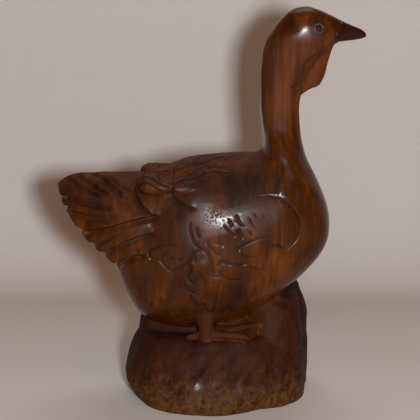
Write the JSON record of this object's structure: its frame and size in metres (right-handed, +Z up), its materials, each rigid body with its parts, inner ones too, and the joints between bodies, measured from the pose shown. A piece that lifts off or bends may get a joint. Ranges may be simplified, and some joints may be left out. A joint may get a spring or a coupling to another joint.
{
  "type": "goose figurine",
  "caption": "Goose figurine carved with its rock from one block of hardwood, with a fanned tail, folded wings, an upright neck and webbed feet",
  "frame": {"origin": "middle of the figurine's outline on the floor, under the rock", "axes": "+X towards the beak, +Z up, -Y is the bird's right flank"},
  "size_m": [0.1619, 0.0803, 0.2098],
  "materials": {
    "waxed_hardwood": "dark red-brown hardwood, hand carved, stained darker in the cuts and waxed to a satin gloss"
  },
  "bodies": {
    "root": {"goose_figurine": "waxed_hardwood"}
  },
  "joints": []
}
